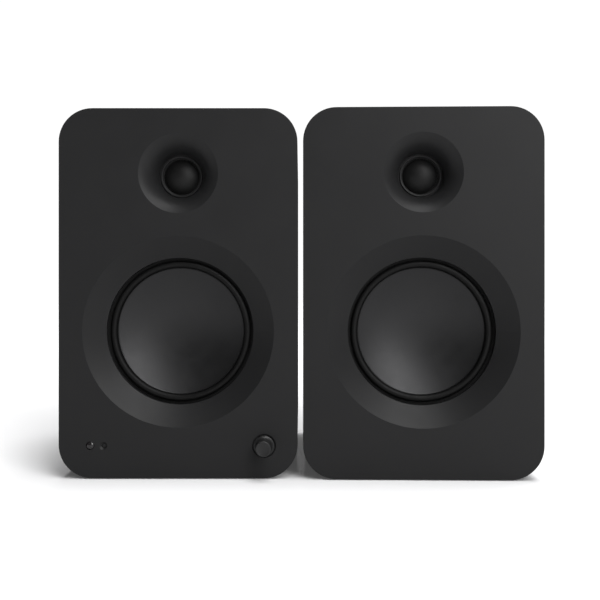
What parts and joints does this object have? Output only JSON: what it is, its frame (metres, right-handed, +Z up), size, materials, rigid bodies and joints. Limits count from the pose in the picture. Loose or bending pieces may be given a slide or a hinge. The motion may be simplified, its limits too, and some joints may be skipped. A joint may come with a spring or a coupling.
{
  "type": "desktop speaker pair",
  "caption": "Two-way desktop speakers: black rounded cabinets with a dished woofer and a flared tweeter, one with a volume knob, indicator and rear amplifier, one passive.",
  "frame": {"origin": "on the surface that the feet stand on, under the middle of the pair's box", "axes": "+X to the right seen from the front, +Y from the fronts towards the backs, +Z up"},
  "size_m": [0.3578, 0.2405, 0.2709],
  "materials": {
    "black_lacquer": "satin black lacquer over fibreboard",
    "black_vinyl": "satin black wrap over fibreboard",
    "raw_board": "raw fibreboard edge, painted black on its face",
    "black_plastic": "fine moulded texture",
    "gloss_black": "gloss",
    "knob_black": "satin",
    "light_pipe": "frosted clear plastic",
    "dark_lens": "gloss, dark tint",
    "cone_metal": "satin dark anodised",
    "surround_rubber": "matt",
    "foot_rubber": "matt",
    "cast_frame": "black powder coat",
    "ferrite": "dull dark grey",
    "plated_steel": "zinc plated",
    "black_steel": "black oxide",
    "copper_coil": "enamelled copper wire on a former",
    "spider_cloth": "resin-stiffened weave",
    "dome_cloth": "coated fabric, soft sheen",
    "wadding": "loose fibre",
    "ring_plastic": "satin",
    "plate_aluminium": "black anodised, brushed",
    "circuit_board": "green solder mask with components",
    "heat_sink_metal": "black anodised",
    "socket_metal": "nickel plated",
    "lever_red": "satin",
    "lever_black": "satin",
    "socket_white": "satin",
    "socket_red": "satin",
    "socket_violet": "satin",
    "printed_ink": "screen-printed line",
    "chip_parts": "small soldered parts"
  },
  "bodies": {
    "left_speaker": {"left_front_baffle": "black_lacquer", "left_cabinet_sleeve": "black_vinyl", "left_rear_board": "raw_board", "left_bass_port": "black_plastic", "left_damping_pads": "wadding", "left_feet": "foot_rubber", "left_screws": "black_steel", "left_tweeter_frame": "ring_plastic", "left_tweeter_surround": "dome_cloth", "left_tweeter_motor": "plated_steel", "left_woofer_basket": "cast_frame", "left_woofer_surround": "surround_rubber", "left_woofer_spider": "spider_cloth", "left_woofer_magnet": "ferrite", "left_pole_plates": "plated_steel", "left_clip_block": "black_plastic", "encoder_body": "plated_steel", "control_board": "circuit_board", "status_led": "light_pipe", "ir_window": "dark_lens", "amplifier_plate": "plate_aluminium", "amplifier_board": "circuit_board", "heat_sink": "heat_sink_metal", "power_supply": "circuit_board", "signal_sockets": "socket_metal", "optical_socket": "black_plastic", "mains_inlet": "gloss_black", "power_switch": "black_plastic"},
    "right_speaker": {"right_front_baffle": "black_lacquer", "right_cabinet_sleeve": "black_vinyl", "right_rear_board": "raw_board", "right_bass_port": "black_plastic", "right_damping_pads": "wadding", "right_feet": "foot_rubber", "right_screws": "black_steel", "right_tweeter_frame": "ring_plastic", "right_tweeter_surround": "dome_cloth", "right_tweeter_motor": "plated_steel", "right_woofer_basket": "cast_frame", "right_woofer_surround": "surround_rubber", "right_woofer_spider": "spider_cloth", "right_woofer_magnet": "ferrite", "right_pole_plates": "plated_steel", "right_clip_block": "black_plastic", "terminal_plate": "plate_aluminium", "crossover_board": "circuit_board"},
    "left_woofer": {"left_woofer_cone": "cone_metal", "left_voice_coil": "copper_coil"},
    "right_woofer": {"right_woofer_cone": "cone_metal", "right_voice_coil": "copper_coil"},
    "left_tweeter": {"left_tweeter_dome": "dome_cloth"},
    "right_tweeter": {"right_tweeter_dome": "dome_cloth"},
    "knob_press": {"encoder_plunger": "black_plastic"},
    "knob_turn": {"volume_knob": "knob_black", "encoder_shaft": "plated_steel"},
    "rocker": {"power_rocker": "gloss_black"},
    "left_black_clip": {"left_black_lever": "lever_black"},
    "left_red_clip": {"left_red_lever": "lever_red"},
    "right_black_clip": {"right_black_lever": "lever_black"},
    "right_red_clip": {"right_red_lever": "lever_red"}
  },
  "joints": [
    {"name": "speaker_spacing", "type": "slide", "parent": "left_speaker", "child": "right_speaker", "axis": [1, 0, 0], "range_m": [0, 0.5]},
    {"name": "left_woofer_travel", "type": "slide", "parent": "left_speaker", "child": "left_woofer", "axis": [0, -1, 0], "range_m": [-0.004, 0.004], "stiffness_N_per_m": 900, "deforming": ["left_woofer_surround", "left_woofer_spider"]},
    {"name": "left_tweeter_travel", "type": "slide", "parent": "left_speaker", "child": "left_tweeter", "axis": [0, -1, 0], "range_m": [-0.0003, 0.0003], "stiffness_N_per_m": 600, "deforming": ["left_tweeter_surround"]},
    {"name": "right_woofer_travel", "type": "slide", "parent": "right_speaker", "child": "right_woofer", "axis": [-0.0236, -0.9997, 0], "range_m": [-0.004, 0.004], "stiffness_N_per_m": 900, "deforming": ["right_woofer_surround", "right_woofer_spider"]},
    {"name": "right_tweeter_travel", "type": "slide", "parent": "right_speaker", "child": "right_tweeter", "axis": [-0.0236, -0.9997, 0], "range_m": [-0.0003, 0.0003], "stiffness_N_per_m": 600, "deforming": ["right_tweeter_surround"]},
    {"name": "knob_push", "type": "slide", "parent": "left_speaker", "child": "knob_press", "axis": [0, 1, 0], "range_m": [0, 0.0005], "stiffness_N_per_m": 3000, "springref_m": -0.0003},
    {"name": "volume_turn", "type": "hinge", "parent": "knob_press", "child": "knob_turn", "pos_m": [-0.02892, -0.10575, 0.0244], "axis": [0, 1, 0], "continuous": true},
    {"name": "power_rock", "type": "hinge", "parent": "left_speaker", "child": "rocker", "pos_m": [-0.07572, 0.10875, 0.04], "axis": [0, 0, 1], "range_deg": [0, 16]},
    {"name": "left_black_clip_press", "type": "hinge", "parent": "left_speaker", "child": "left_black_clip", "pos_m": [-0.10472, 0.10975, 0.0795], "axis": [1, 0, 0], "range_deg": [0, 22], "stiffness_Nm_per_rad": 0.05, "springref_deg": -5.73},
    {"name": "left_red_clip_press", "type": "hinge", "parent": "left_speaker", "child": "left_red_clip", "pos_m": [-0.07872, 0.10975, 0.0795], "axis": [1, 0, 0], "range_deg": [0, 22], "stiffness_Nm_per_rad": 0.05, "springref_deg": -5.73},
    {"name": "right_black_clip_press", "type": "hinge", "parent": "right_speaker", "child": "right_black_clip", "pos_m": [0.07877, 0.105, 0.0735], "axis": [0.9997, -0.0236, 0], "range_deg": [0, 22], "stiffness_Nm_per_rad": 0.05, "springref_deg": -5.73},
    {"name": "right_red_clip_press", "type": "hinge", "parent": "right_speaker", "child": "right_red_clip", "pos_m": [0.10476, 0.10438, 0.0735], "axis": [0.9997, -0.0236, 0], "range_deg": [0, 22], "stiffness_Nm_per_rad": 0.05, "springref_deg": -5.73}
  ]
}
